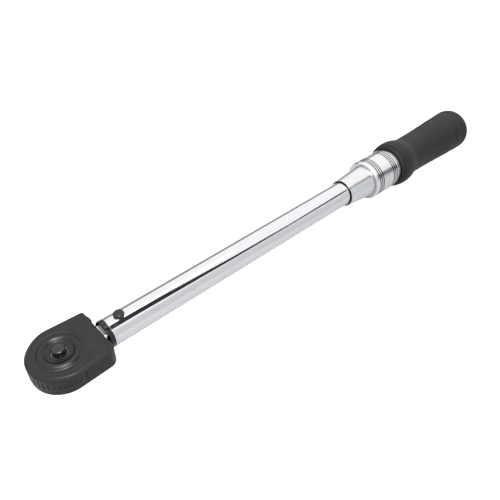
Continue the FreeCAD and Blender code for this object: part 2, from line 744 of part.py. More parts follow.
def make_drive_gear():
    hub = turned("drive_hub", [
        ("0", "0"),
        ("hub_low_r", "0"),
        ("hub_low_r", "gear_low"),
        ("gear_tip_r", "gear_low"),
        ("gear_tip_r", "gear_top"),
        ("hub_top_r", "gear_top"),
        ("hub_top_r", "hub_top - 0.3"),
        ("hub_top_r - 0.3", "hub_top"),
        ("0", "hub_top"),
    ], axis="Z")
    teeth = int(number("gear_teeth"))
    tip_r, root_r = number("gear_tip_r"), number("gear_root_r")
    valleys = []
    half_wide = number("gear_gap_half")
    slope = half_wide / (tip_r - root_r)
    over = 0.6
    profile = [
        V(root_r, 0, 0),
        V(tip_r + over, half_wide + slope * over, 0),
        V(tip_r + over, -half_wide - slope * over, 0),
    ]
    outline = Part.Face(Part.makePolygon(profile + profile[:1]))
    valley = outline.extrude(V(0, 0, number("gear_top - gear_low")))
    for i in range(teeth):
        turned_valley = valley.copy()
        turned_valley.rotate(V(0, 0, 0), V(0, 0, 1), 360.0 * i / teeth)
        valleys.append(turned_valley)
    gaps = doc.addObject("Part::Feature", "gear_gaps")
    gaps.Shape = Part.makeCompound(valleys)
    place(gaps, 0, 0, "gear_low")
    square = box("drive_square", "square", "square", "square_long", "-square / 2", 0, "-square_long")
    doc.recompute()
    tang = doc.addObject("Part::Chamfer", "drive_tang")
    tang.Base = square
    tip_bevel, edge_bevel = number("square_tip_bevel"), number("square_edge_bevel")
    edges = []
    for i, edge in enumerate(square.Shape.Edges, start=1):
        middle = edge.valueAt((edge.FirstParameter + edge.LastParameter) / 2)
        if abs(edge.tangentAt(edge.FirstParameter).z) > 0.9:
            edges.append((i, edge_bevel, edge_bevel))
        elif middle.z < -1:
            edges.append((i, tip_bevel, tip_bevel))
    tang.Edges = edges
    whole = fuse("drive_whole", hub, tang)
    rooms = [
        gaps,
        cylinder("button_room", "button_room_r", "hub_top", 0, 0, "button_room_low"),
        cylinder("release_bore", "pin_room_r", "button_room_low - pin_room_low + 1", 0, 0, "pin_room_low"),
        cylinder("ball_bore", "ball_r + fit_gap", "square", 0, 0, "ball_z", ALONG_X),
    ]
    finish("drive_gear", cut("drive_cut", whole, *rooms))


def make_quick_release():
    finish("release_button", cut("button_cut", turned("button_cap", [
        ("0", "button_low"),
        ("button_r", "button_low"),
        ("button_r", "button_top - button_round"),
        ("button_r - button_round * 0.3", "button_top - button_round * 0.3"),
        ("button_r - button_round", "button_top"),
        ("0", "button_top"),
    ], axis="Z"), cylinder("button_pin_hole", "release_pin_r", "release_pin_top", 0, 0, 0)))
    finish("release_pin", turned("release_pin_body", [
        ("0", "release_pin_low"),
        ("release_pin_r", "release_pin_low"),
        ("release_pin_r", "waist_low"),
        ("waist_r", "waist_low + 0.5"),
        ("waist_r", "waist_top - 0.5"),
        ("release_pin_r", "waist_top"),
        ("release_pin_r", "release_pin_top"),
        ("0", "release_pin_top"),
    ], axis="Z"))
    long = "button_low - button_room_low - 2 * release_wire_r - coil_play"
    spring = coil("release_coil", "release_coil_r", "release_wire_r", long, "release_turns")
    finish("release_spring", place(spring, 0, 0, "button_room_low + release_wire_r + coil_play / 2"))
    ball = doc.addObject("Part::Sphere", "detent_ball_solid")
    bind(ball, Radius="ball_r")
    finish("detent_ball", place(ball, "square / 2 + ball_proud - ball_r", 0, "ball_z"))


# ---------------------------------------------------------------- click mechanism

def make_click_mechanism():
    block = box("tilt_block_box", "block_long", "block_wide", "block_wide", "beam_rear + block_gap", 0,
                "axis_height - block_wide / 2")
    finish("tilt_block", block)
    face = "beam_rear + 2 * block_gap + block_long"
    finish("thrust_plunger", turned("thrust_plunger_body", [
        (face, "0"),
        (f"{face} + plunger_long + spigot_long", "0"),
        (f"{face} + plunger_long + spigot_long", "spigot_r - 1"),
        (f"{face} + plunger_long + spigot_long - 1", "spigot_r"),
        (f"{face} + plunger_long", "spigot_r"),
        (f"{face} + plunger_long", "slider_r"),
        (f"{face} + 1", "slider_r"),
        (face, "slider_r - 1"),
    ], z="axis_height"))


def make_spring_seat():
    ball_x = "seat_front + seat_long - ball_seat_deep + thrust_ball_r"
    finish("rear_spring_seat", turned("seat_body", [
        ("seat_front - spigot_long", "0"),
        ("seat_front - spigot_long", "spigot_r - 1"),
        ("seat_front - spigot_long + 1", "spigot_r"),
        ("seat_front", "spigot_r"),
        ("seat_front", "slider_r"),
        ("seat_front + seat_long", "slider_r"),
        ("seat_front + seat_long", "thrust_ball_r + fit_gap"),
        ("seat_front + seat_long - ball_seat_deep", "thrust_ball_r + fit_gap"),
        ("seat_front + seat_long - ball_seat_deep", "0"),
    ], z="axis_height"))
    ball = doc.addObject("Part::Sphere", "thrust_ball_solid")
    bind(ball, Radius="thrust_ball_r")
    finish("thrust_ball", place(ball, ball_x, 0, "axis_height"))


# ---------------------------------------------------------------- handle

def make_load_screw():
    tip = "seat_front + seat_long - ball_seat_deep + 2 * thrust_ball_r + gap"
    finish("load_screw", turned("load_screw_body", [
        (tip, "0"),
        (tip, "load_screw_tip_r"),
        (f"{tip} + load_tip_long", "load_screw_tip_r"),
        (f"{tip} + load_tip_long + 1", "load_screw_r"),
        ("wall_front - load_flange_long", "load_screw_r"),
        ("wall_front - load_flange_long", "load_flange_r"),
        ("wall_front", "load_flange_r"),
        ("wall_front", "load_screw_r"),
        ("wall_rear", "load_screw_r"),
        ("wall_rear", "load_screw_tip_r"),
        ("wall_rear + end_nut_long", "load_screw_tip_r"),
        ("wall_rear + end_nut_long", "0"),
    ], z="axis_height"))


def make_handle_core():
    sleeve = turned("handle_sleeve", [
        ("thimble_front + mouth_deep", "handle_bore_r"),
        ("thimble_front + mouth_deep", "mouth_r"),
        ("thimble_front", "mouth_r"),
        ("thimble_front", "thimble_front_r"),
        ("thimble_rear", "thimble_rear_r"),
        ("thimble_rear", "sleeve_r"),
        ("grip_seat_front", "sleeve_r"),
        ("grip_seat_front", "grip_seat_r"),
        ("wall_rear", "grip_seat_r"),
        ("wall_rear", "load_screw_r"),
        ("wall_front", "load_screw_r"),
        ("wall_front", "chamber_r"),
        ("chamber_front", "chamber_r"),
        ("chamber_front", "handle_bore_r"),
    ], z="axis_height")
    holes = []
    balls = []
    centre_r = number("lock_ball_centre_r")
    inner = number("lock_hole_start")
    for i, (_, across, up) in enumerate(ring_of(centre_r, 3, 90.0)):
        outward = FreeCAD.Rotation(V(0, 0, 1), V(0, across, up))
        holes.append(cylinder(f"lock_ball_hole_{i}", "lock_ball_r",
                              "sleeve_r - lock_ball_centre_r * lock_hole_start", "lock_ball_x",
                              inner * across, f"axis_height + {inner * up}", outward))
        ball = doc.addObject("Part::Sphere", f"lock_ball_{i}")
        bind(ball, Radius="lock_ball_r")
        balls.append(place(ball, "lock_ball_x", across, f"axis_height + {up}"))
    finish("thimble_sleeve", cut("sleeve_cut", sleeve, *holes))
    finish("lock_balls", group("lock_ball_group", *balls))


def make_lock_ring():
    """The grooved collar, with its bands of turned grooves near the front and near the grip."""
    outline = [
        ("ring_front", "sleeve_r + gap"),
        ("ring_front", "ring_front_r"),
        ("ring_front + ring_front_bevel", "ring_r"),
    ]
    for first in ("ring_front_groove", "ring_rear_groove"):
        for i in range(3):
            front = f"{first} + {i} * ring_groove_pitch"
            outline += [
                (front, "ring_r"),
                (front, "ring_r - ring_groove_deep"),
                (f"{front} + ring_groove_wide", "ring_r - ring_groove_deep"),
                (f"{front} + ring_groove_wide", "ring_r"),
            ]
    outline += [
        ("ring_shoulder", "ring_r"),
        ("ring_shoulder + 0.6 * ring_shoulder_long", "0.7 * ring_r + 0.3 * ring_rear_r"),
        ("ring_shoulder + ring_shoulder_long", "ring_rear_r"),
        ("ring_rear", "ring_rear_r"),
        ("ring_rear", "grip_seat_r"),
        ("ring_recess_front", "grip_seat_r"),
        ("ring_recess_front", "sleeve_r + gap"),
    ]
    finish("lock_ring", turned("lock_ring_body", outline, z="axis_height"))
    long = "grip_seat_front - ring_recess_front - 2 * lock_wire_r - coil_play"
    spring = coil("lock_coil", "lock_coil_r", "lock_wire_r", long, "lock_turns")
    front = "ring_recess_front + lock_wire_r + coil_play / 2"
    finish("lock_spring", place(spring, front, 0, "axis_height", ALONG_X))


def make_grip():
    """The rubber grip: a rolled lip at the mouth, a waist, and a swelling, rounded rear end."""
    finish("rubber_grip", turned("grip_body", [
        ("grip_front", "grip_mouth_r"),
        ("grip_front", "grip_mouth_r + 1.4"),
        ("grip_front + 1.5", "grip_mouth_r + 2.8"),
        ("grip_front + 4", "grip_mouth_r + 3.6"),
        ("grip_front + 7.5", "grip_mouth_r + 3.95"),
        ("grip_front + 11", "grip_mouth_r + 4.05"),
        ("grip_front + 14", "grip_mouth_r + 3.8"),
        ("grip_front + 17.5", "grip_mouth_r + 3.2"),
        ("grip_front + 21", "grip_mouth_r + 2.1"),
        ("grip_front + 25", "grip_mouth_r + 0.95"),
        ("grip_front + 31", "grip_mouth_r + 0.6"),
        ("grip_front + 45", "grip_mouth_r + 0.6"),
        ("grip_front + 70", "grip_mouth_r + 1.4"),
        ("grip_front + 95", "grip_mouth_r + 2.5"),
        ("grip_rear - 9", "grip_mouth_r + 3.1"),
        ("grip_rear - 4.5", "grip_mouth_r + 2.2"),
        ("grip_rear - 1.5", "grip_mouth_r - 0.2"),
        ("grip_rear", "grip_mouth_r - 3.0"),
        ("grip_rear", "chamber_r"),
        ("wall_rear", "chamber_r"),
        ("wall_rear", "grip_seat_r"),
        ("grip_seat_front", "grip_seat_r"),
        ("grip_seat_front", "grip_mouth_r"),
    ], z="axis_height"))


def make_handle_end():
    nut = doc.addObject("Part::Prism", "end_nut_hex")
    nut.Polygon = 6
    bind(nut, Circumradius="end_nut_r", Height="end_nut_long")
    place(nut, "wall_rear", 0, "axis_height", ALONG_X)
    hole = cylinder("end_nut_hole", "load_screw_tip_r", "end_nut_long", "wall_rear", 0, "axis_height",
                    ALONG_X)
    finish("end_nut", cut("end_nut_cut", nut, hole))
    rear = "grip_rear - 0.5"
    finish("end_cap", turned("end_cap_body", [
        (f"{rear} - end_cap_long", "0"),
        (f"{rear} - end_cap_long", "chamber_r"),
        (f"{rear} - 0.5", "chamber_r"),
        (rear, "chamber_r - 0.5"),
        (rear, "0"),
    ], z="axis_height"))


make_tube()
make_neck_bush()
make_pivot_pin()
make_load_nut()
make_main_spring()
make_ratchet_head()
make_lower_housing()
make_top_cover()
make_screws()
make_head_trim()
make_reversing_dial()
make_pawl()
make_drive_gear()
make_quick_release()
make_click_mechanism()
make_spring_seat()
make_load_screw()
make_handle_core()
make_lock_ring()
make_grip()
make_handle_end()
doc.recompute()

broken = [item.Name for item in doc.Objects if {"Invalid", "Error"} & set(item.State)]
if broken:
    raise RuntimeError(f"these objects failed to build: {broken}")
for node, thing in parts.items():
    if thing.Shape.isNull() or not thing.Shape.isValid():
        raise RuntimeError(f"the shape of {node} is not valid")

os.makedirs("parts", exist_ok=True)
for node, thing in parts.items():
    thing.Shape.exportStep(f"parts/{node}.step")
    print(node, f"{thing.Shape.Volume:.0f} mm3", f"{len(thing.Shape.Solids)} solids")
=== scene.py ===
"""Looks of the click-type torque wrench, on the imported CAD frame. Lengths are written in mm."""
import math

import bpy
from mathutils import Matrix, Vector


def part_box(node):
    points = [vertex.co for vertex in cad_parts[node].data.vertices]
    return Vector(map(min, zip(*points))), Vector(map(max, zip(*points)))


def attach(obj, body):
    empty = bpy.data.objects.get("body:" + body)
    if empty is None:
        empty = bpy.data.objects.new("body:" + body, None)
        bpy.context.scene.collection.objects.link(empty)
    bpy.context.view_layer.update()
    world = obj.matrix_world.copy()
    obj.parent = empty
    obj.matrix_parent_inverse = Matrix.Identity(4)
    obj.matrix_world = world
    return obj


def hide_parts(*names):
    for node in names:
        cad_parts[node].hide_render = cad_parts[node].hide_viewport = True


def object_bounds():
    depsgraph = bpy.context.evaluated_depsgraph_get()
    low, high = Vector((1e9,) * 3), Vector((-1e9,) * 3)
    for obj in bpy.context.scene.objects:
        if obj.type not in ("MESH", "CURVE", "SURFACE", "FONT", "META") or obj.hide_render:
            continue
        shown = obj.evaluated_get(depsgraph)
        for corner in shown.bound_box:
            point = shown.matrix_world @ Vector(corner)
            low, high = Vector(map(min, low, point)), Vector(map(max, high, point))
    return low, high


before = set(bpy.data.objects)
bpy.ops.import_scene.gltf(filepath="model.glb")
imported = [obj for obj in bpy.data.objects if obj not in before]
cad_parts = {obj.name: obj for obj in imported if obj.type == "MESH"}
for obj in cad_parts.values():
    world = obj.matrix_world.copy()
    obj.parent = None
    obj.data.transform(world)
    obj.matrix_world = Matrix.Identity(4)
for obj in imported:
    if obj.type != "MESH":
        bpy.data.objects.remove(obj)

MM = 0.001
CAD_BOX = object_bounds()
AXIS_Z = 10.5  # height of the tube's axis


# ---------------------------------------------------------------- mesh helpers

def make_mesh(name, verts, faces, flat=False):
    """A new smooth-shaded object from points in mm."""
    mesh = bpy.data.meshes.new(name)
    mesh.from_pydata([tuple(c * MM for c in v) for v in verts], [], faces)
    mesh.validate()
    mesh.update()
    mesh.polygons.foreach_set("use_smooth", [not flat] * len(mesh.polygons))
    obj = bpy.data.objects.new(name, mesh)
    bpy.context.scene.collection.objects.link(obj)
    return obj


def place_piece(piece, body, slot, *nodes):
    """Put a new piece on its body, in place of the CAD nodes that it stands for."""
    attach(piece, body)
    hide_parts(*nodes)


def spline(points, step):
    """A smooth run of points through the given ones, about step apart, with no overshoot."""
    count = len(points)
    slopes = []
    for i in range(count):
        if i in (0, count - 1):
            slopes.append(None)
            continue
        (x0, y0), (x1, y1), (x2, y2) = points[i - 1:i + 2]
        before, after = (y1 - y0) / (x1 - x0), (y2 - y1) / (x2 - x1)
        slopes.append(0.0 if before * after <= 0 else 2 * before * after / (before + after))
    slopes[0] = (points[1][1] - points[0][1]) / (points[1][0] - points[0][0])
    slopes[-1] = (points[-1][1] - points[-2][1]) / (points[-1][0] - points[-2][0])
    out = []
    for i in range(count - 1):
        (x0, y0), (x1, y1) = points[i], points[i + 1]
        wide = x1 - x0
        parts = max(1, math.ceil(abs(wide) / step))
        for k in range(parts):
            t = k / parts
            out.append((
                x0 + wide * t,
                (2 * t**3 - 3 * t**2 + 1) * y0 + (t**3 - 2 * t**2 + t) * wide * slopes[i]
                + (3 * t**2 - 2 * t**3) * y1 + (t**3 - t**2) * wide * slopes[i + 1],
            ))
    out.append(points[-1])
    return out


def arc(centre, radius, first, last, parts):
    """Points on an arc, with angles in degrees."""
    out = []
    for k in range(parts + 1):
        a = math.radians(first + (last - first) * k / parts)
        out.append((centre[0] + radius * math.cos(a), centre[1] + radius * math.sin(a)))
    return out


def loft(name, rings):
    """A closed skin over rings of equal length, where the last ring meets the first again."""
    count = len(rings[0])
    verts = [v for ring in rings for v in ring]
    faces = []
    for i in range(len(rings)):
        nxt = (i + 1) % len(rings)
        for k in range(count):
            j = (k + 1) % count
            faces.append((i * count + k, i * count + j, nxt * count + j, nxt * count + k))
    return make_mesh(name, verts, faces)


def lathe_x(name, outline, count, axis_z, relief=None):
    """A ring turned about the handle's axis from a closed outline of (along X, radius)."""
    rings = []
    for x, r in outline:
        ring = []
        for k in range(count):
            a = 2 * math.pi * k / count
            rr = r + (relief(x, r, a) if relief else 0.0)
            ring.append((x, -rr * math.sin(a), axis_z + rr * math.cos(a)))
        rings.append(ring)
    return loft(name, rings)


def lathe_z(name, outline, count, x=0.0):
    """A solid turned about a vertical axis from an open outline of (radius, z) that starts and
    ends on the axis."""
    verts = []
    for r, z in outline[1:-1]:
        for k in range(count):
            a = 2 * math.pi * k / count
            verts.append((x + r * math.cos(a), r * math.sin(a), z))
    low, top = len(verts), len(verts) + 1
    verts += [(x, 0.0, outline[0][1]), (x, 0.0, outline[-1][1])]
    faces = []
    rows = len(outline) - 2
    for k in range(count):
        j = (k + 1) % count
        faces.append((low, j, k))
        faces.append((top, (rows - 1) * count + k, (rows - 1) * count + j))
        for i in range(rows - 1):
            faces.append((i * count + k, i * count + j, (i + 1) * count + j, (i + 1) * count + k))
    return make_mesh(name, verts, faces)


# ---------------------------------------------------------------- rubber grip

def smooth_step(low, high, value):
    """From 0 at low to 1 at high, level at both ends."""
    t = min(1.0, max(0.0, (value - low) / (high - low)))
    return t * t * (3 - 2 * t)


def make_grip():
    """The waisted sleeve: a rolled lip with a crease, a palm area with pimples, and two ring grooves."""
    low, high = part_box("rubber_grip")
    front, rear = low.x / MM, high.x / MM
    axis_z = (low.z + high.z) / 2 / MM
    mouth = 18.0
    seat_r, seat_front, seat_rear = 16.5, 366.0, 463.0
    cap_r = 13.0
    outer = spline([
        (front, mouth + 0.3),
        (front + 0.35, mouth + 1.3),
        (front + 1.3, mouth + 2.6),
        (front + 2.3, mouth + 3.15),
        (front + 2.75, mouth + 1.9),
        (front + 3.4, mouth + 1.9),
        (front + 3.9, mouth + 3.45),
        (front + 5.2, mouth + 3.72),
        (front + 7.5, mouth + 3.95),
        (front + 11.0, mouth + 4.05),
        (front + 14.0, mouth + 3.8),
        (front + 17.5, mouth + 3.15),
        (front + 21.0, mouth + 2.05),
        (front + 24.0, mouth + 1.15),
        (front + 27.0, mouth + 0.75),
        (front + 32.0, mouth + 0.6),
        (front + 45.0, mouth + 0.6),
        (front + 70.0, mouth + 1.4),
        (front + 90.0, mouth + 2.25),
        (front + 91.0, mouth + 1.8),
        (front + 92.0, mouth + 2.3),
        (front + 102.5, mouth + 2.85),
        (front + 103.5, mouth + 2.4),
        (front + 104.5, mouth + 2.9),
        (rear - 9.0, mouth + 3.1),
        (rear - 6.0, mouth + 2.65),
        (rear - 3.4, mouth + 1.4),
        (rear - 1.5, mouth - 0.5),
        (rear - 0.5, mouth - 2.2),
    ], 0.32)
    bore = [
        (rear, mouth - 3.6),
        (rear, cap_r + 0.4),
        (rear - 0.4, cap_r),
        (seat_rear, cap_r),
        (seat_rear, seat_r),
        (seat_front, seat_r),
        (seat_front, mouth),
        (front + 0.3, mouth),
    ]
    dots_around, dot_pitch, dot_r, dot_high = 44, 2.2, 0.8, 0.36
    first, last = front + 45.0, front + 86.8

    def dots(x, r, a):
        """Round pimples in staggered rows over the palm area."""
        if r < mouth + 0.1 or not first - dot_pitch < x < last + dot_pitch:
            return 0.0
        row = round((x - first) / dot_pitch)
        row = min(max(row, 0), round((last - first) / dot_pitch))
        turn = a / (2 * math.pi) * dots_around + 0.5 * (row % 2)
        off = (turn - round(turn)) * 2 * math.pi * r / dots_around
        gap = math.hypot(off, x - first - row * dot_pitch)
        if gap >= dot_r:
            return 0.0
        return dot_high * math.cos(gap / dot_r * math.pi / 2) ** 1.3

    grip = lathe_x("grip_skin", outer + bore, dots_around * 8, axis_z, dots)
    place_piece(grip, "handle", "grip_rubber", "rubber_grip")
    return grip


# ---------------------------------------------------------------- top cover

def cover_outline(nose, rear, half, corner):
    """(point, outward normal) all round the cover: a round nose, tangent sides, rounded corners."""
    reach = math.hypot(rear, half)
    touch = math.degrees(math.atan2(half, rear) + math.acos(nose / reach))
    n = Vector((math.cos(math.radians(touch)), math.sin(math.radians(touch))))
    cx = rear - corner
    cy = (nose - corner - cx * n.x) / n.y
    half_way = []
    for k in range(24):
        half_way.append((Vector((rear, cy * k / 24)), 0.0))
    for x, y in arc((cx, cy), corner, 0.0, touch, 20):
        half_way.append((Vector((x, y)), math.degrees(math.atan2(y - cy, x - cx))))
    corner_end = half_way[-1][0]
    tangent = n * nose
    for k in range(1, 40):
        half_way.append((corner_end.lerp(tangent, k / 40), touch))
    steps = 110
    for k in range(steps + 1):
        a = touch + (180.0 - touch) * k / steps
        half_way.append((Vector((math.cos(math.radians(a)), math.sin(math.radians(a)))) * nose, a))
    mirror = [(Vector((p.x, -p.y)), -a) for p, a in reversed(half_way[1:-1])]
    out = []
    for p, a in half_way + mirror:
        out.append((p, Vector((math.cos(math.radians(a)), math.sin(math.radians(a))))))
    return out


def make_cover():
    """The plate over the head: a recess round the button, a raised ring, a dished groove, and a flat
    top with a bevel that is widest round the nose."""
    low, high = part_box("top_cover")
    seam, boss_top = low.z / MM, high.z / MM
    nose, rear = -low.x / MM, high.x / MM
    flat_z, rear_half, corner_r = 20.0, 21.2, 2.4
    bore, well_r = 9.6, 6.1
    well_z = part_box("drive_gear")[1].z / MM + 0.2
    outline = cover_outline(nose, rear, rear_half, corner_r)
    rays = [p.normalized() for p, _ in outline]
    inner = [
        (bore, seam),
        (bore, well_z),
        (well_r + 0.2, well_z),
        (well_r, well_z + 0.1),
        (well_r, well_z + 0.4),
    ]
    inner += spline([
        (well_r + 0.2, well_z + 0.55),
        (bore - 1.3, well_z + 0.65),
        (bore - 0.3, well_z + 0.95),
        (bore + 0.6, well_z + 1.8),
        (bore + 1.4, boss_top - 0.5),
        (bore + 2.1, boss_top - 0.08),
        (bore + 2.9, boss_top),
        (bore + 3.5, boss_top - 0.15),
        (bore + 4.2, boss_top - 0.5),
        (bore + 5.0, flat_z + 0.5),
        (bore + 5.7, flat_z - 0.1),
        (bore + 6.4, flat_z - 0.38),
        (bore + 7.1, flat_z - 0.3),
        (bore + 7.9, flat_z - 0.05),
        (bore + 8.7, flat_z),
    ], 0.25)
    rings = [[(u.x * r, u.y * r, z) for u in rays] for r, z in inner]
    last_r = inner[-1][0]
    edge = []
    for _, n in outline:
        nose_part = smooth_step(0.15, -0.75, n.x)
        edge.append((0.75 + 1.75 * nose_part, 0.55 + 1.65 * nose_part))
    for t in (0.35, 0.7, 0.94):
        ring = []
        for (p, n), u, (wide, _) in zip(outline, rays, edge):
            q = p - n * wide
            ring.append((u.x * last_r * (1 - t) + q.x * t, u.y * last_r * (1 - t) + q.y * t, flat_z))
        rings.append(ring)
    bevel = [(1.0, 0.0), (0.86, 0.05), (0.7, 0.2), (0.3, 0.62), (0.12, 0.82), (0.03, 0.95), (0.0, 1.15)]
    for inset, drop in bevel:
        ring = []
        for (p, n), (wide, deep) in zip(outline, edge):
            q = p - n * wide * inset
            ring.append((q.x, q.y, flat_z - deep * drop))
        rings.append(ring)
    for inset, z in ((0.0, seam + 0.3), (0.06, seam + 0.1), (0.25, seam), (4.0, seam)):
        rings.append([(p.x - n.x * inset, p.y - n.y * inset, z) for p, n in outline])
    cover = loft("cover_shell", rings)
    place_piece(cover, "head", "black_cover", "top_cover")
    return cover


def make_button():
    """The quick-release button, with a rounded edge and a slight crown."""
    low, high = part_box("release_button")
    r = (high.y - low.y) / 2 / MM
    foot, top = low.z / MM, high.z / MM
    outline = [(0.0, foot), (r - 0.2, foot), (r, foot + 0.2), (r, top - 1.5)]
    outline += arc((r - 1.2, top - 1.5), 1.2, 8.0, 72.0, 8)
    outline += [(r - 1.4, top - 0.24), (r - 2.2, top - 0.1), (1.2, top - 0.02), (0.0, top)]
    button = lathe_z("button_dome", outline, 96)
    place_piece(button, "quick_release", "button_black", "release_button")
    return button


def make_pin():
    """The pivot pin: a plain shank under a low domed head."""
    low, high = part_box("pivot_pin")
    head_r = (high.y - low.y) / 2 / MM
    x = (low.x + high.x) / 2 / MM
    foot, top = low.z / MM, high.z / MM
    shank, head_foot = 3.5, 19.5
    outline = [(0.0, foot), (shank - 0.7, foot), (shank - 0.2, foot + 0.3), (shank, foot + 0.8)]
    outline += [(shank, head_foot), (head_r - 0.15, head_foot), (head_r, head_foot + 0.15),
                (head_r, top - 1.9)]
    outline += arc((head_r - 1.4, top - 1.9), 1.4, 8.0, 70.0, 8)
    outline += [(head_r - 1.6, top - 0.4), (head_r - 2.4, top - 0.17), (1.0, top - 0.02)]
    outline += [(0.0, top)]
    pin = lathe_z("pivot_pin_dome", outline, 96, x)
    place_piece(pin, "tube_assembly", "black_oxide", "pivot_pin")
    return pin


# ---------------------------------------------------------------- materials

class Graph:
    """A small builder for one material's nodes."""

    def __init__(self, name):
        self.material = bpy.data.materials.new(name)
        self.material.use_nodes = True
        self.tree = self.material.node_tree
        self.shader = self.tree.nodes["Principled BSDF"]
        self.coords = self.tree.nodes.new("ShaderNodeTexCoord").outputs["Object"]

    def link(self, source, target):
        self.tree.links.new(source, target)

    def noise(self, size, stretch=(1.0, 1.0, 1.0), detail=4.0, rough=0.55, distortion=0.0):
        """Noise whose features are about size mm, drawn out along each axis by stretch."""
        mapping = self.tree.nodes.new("ShaderNodeMapping")
        mapping.inputs["Scale"].default_value = [1 / (size * MM * s) for s in stretch]
        self.link(self.coords, mapping.inputs["Vector"])
        texture = self.tree.nodes.new("ShaderNodeTexNoise")
        texture.inputs["Scale"].default_value = 1.0
        texture.inputs["Detail"].default_value = detail
        texture.inputs["Roughness"].default_value = rough
        texture.inputs["Distortion"].default_value = distortion
        self.link(mapping.outputs["Vector"], texture.inputs["Vector"])
        return texture.outputs["Fac"]

    def cells(self, size):
        """Rounded cells about size mm across, for a moulded grain."""
        texture = self.tree.nodes.new("ShaderNodeTexVoronoi")
        texture.feature = "SMOOTH_F1"
        texture.inputs["Scale"].default_value = 1 / (size * MM)
        self.link(self.coords, texture.inputs["Vector"])
        return texture.outputs["Distance"]

    def ramp(self, source, low, high, out_low, out_high):
        """Source from low..high to out_low..out_high, held at the ends."""
        node = self.tree.nodes.new("ShaderNodeMapRange")
        for name, value in (("From Min", low), ("From Max", high), ("To Min", out_low), ("To Max", out_high)):
            node.inputs[name].default_value = value
        self.link(source, node.inputs["Value"])
        return node.outputs["Result"]

    def math(self, kind, a, b):
        """A sum on two sockets or numbers."""
        node = self.tree.nodes.new("ShaderNodeMath")
        node.operation = kind
        for socket, value in zip(node.inputs, (a, b)):
            if isinstance(value, (int, float)):
                socket.default_value = value
            else:
                self.link(value, socket)
        return node.outputs["Value"]

    def mix(self, factor, a, b):
        """A colour between a and b."""
        node = self.tree.nodes.new("ShaderNodeMix")
        node.data_type = "RGBA"
        self.link(factor, node.inputs[0])
        for socket, value in ((node.inputs[6], a), (node.inputs[7], b)):
            if isinstance(value, tuple):
                socket.default_value = (*value, 1.0)
            else:
                self.link(value, socket)
        return node.outputs[2]

    def axes(self):
        """The x, y and z of each point, in metres."""
        node = self.tree.nodes.new("ShaderNodeSeparateXYZ")
        self.link(self.coords, node.inputs["Vector"])
        return node.outputs

    def grooves(self, first, last, deep, unshaded):
        """One in the grooves round the tube's axis between two places along it, nought outside: the mask for
        shade painted on the groove floors.
        """
        x, y, z = self.axes()
        up = self.math("SUBTRACT", z, AXIS_Z * MM)
        radius = self.math("POWER", self.math("ADD", self.math("MULTIPLY", y, y),
                                              self.math("MULTIPLY", up, up)), 0.5)
        inside = self.math("MULTIPLY", self.math("GREATER_THAN", x, first * MM),
                           self.math("LESS_THAN", x, last * MM))
        return self.math("MULTIPLY", inside, self.ramp(radius, deep * MM, unshaded * MM, 1.0, 0.0))

    def bump(self, height, depth, normal=None):
        """A bump of the given depth in mm."""
        node = self.tree.nodes.new("ShaderNodeBump")
        node.inputs["Strength"].default_value = 1.0
        node.inputs["Distance"].default_value = depth * MM
        self.link(height, node.inputs["Height"])
        if normal is not None:
            self.link(normal, node.inputs["Normal"])
        return node.outputs["Normal"]

    def finish(self, colour, roughness, normal, **fixed):
        """Link the three maps to the shader, and set its even values on its own sockets."""
        self.link(colour, self.shader.inputs["Base Color"])
        self.link(roughness, self.shader.inputs["Roughness"])
        self.link(normal, self.shader.inputs["Normal"])
        for name, value in fixed.items():
            self.shader.inputs[name.replace("_", " ")].default_value = value
        return self.material


def plated(name, colour, rough, haze, shade_below_x=None):
    """Bright plating: nearly mirror smooth, with faint haze, wipe marks and hairline scratches.
    Steel with x below the last argument, inside a housing, gets painted shade: a near-black, rougher tone."""
    g = Graph(name)
    haze_map = g.noise(9.0, (2.5, 1.0, 1.0), 3.0)
    hair = g.noise(0.35, (60.0, 1.0, 1.0), 2.0, 0.6, 0.3)
    scratch = g.ramp(hair, 0.66, 0.74, 0.0, 1.0)
    tint = g.mix(g.ramp(haze_map, 0.35, 0.7, 0.0, 1.0), colour, tuple(c * 0.955 for c in colour))
    roughness = g.math("ADD", g.ramp(haze_map, 0.3, 0.75, rough, rough + haze),
                       g.math("MULTIPLY", scratch, 0.07))
    # Painted shade: the steel inside the housing is darkened to near black.
    if shade_below_x:
        housing_shade = g.ramp(g.axes()[0], (shade_below_x - 0.5) * MM, (shade_below_x + 0.5) * MM, 1.0, 0.0)
        tint = g.mix(housing_shade, tint, (0.03, 0.03, 0.031))
        roughness = g.math("ADD", roughness, g.math("MULTIPLY", housing_shade, 0.3))
    normal = g.bump(hair, 0.0006, g.bump(g.noise(14.0, (3.0, 1.0, 1.0), 2.0), 0.004))
    return g.finish(tint, roughness, normal, Metallic=1.0)


def turned_metal(name, colour, rough, line, depth, groove_shade=None):
    """Satin metal with fine turning lines, which change only along the wrench. The last argument is
    (first x, last x, radius of full shade, radius where the shade ends) and paints shade, as a near-black
    colour, on the floors of the grooves there."""
    g = Graph(name)
    lines = g.noise(line, (1.0, 30.0, 30.0), 5.0, 0.7)
    patches = g.noise(6.0, (1.5, 1.0, 1.0), 3.0)
    tone = g.mix(g.ramp(lines, 0.3, 0.7, 0.0, 1.0), tuple(c * 0.86 for c in colour), colour)
    tone = g.mix(g.ramp(patches, 0.35, 0.75, 0.0, 0.5), tone, tuple(c * 0.9 for c in colour))
    # Painted shade: the groove floors are darkened to near black, in place of the shade that falls in them.
    if groove_shade:
        tone = g.mix(g.grooves(*groove_shade), tone, (0.035, 0.035, 0.037))
    roughness = g.math("ADD", g.ramp(lines, 0.3, 0.7, rough - 0.04, rough + 0.05),
                       g.ramp(patches, 0.3, 0.7, -0.02, 0.04))
    return g.finish(tone, roughness, g.bump(lines, depth), Metallic=1.0)


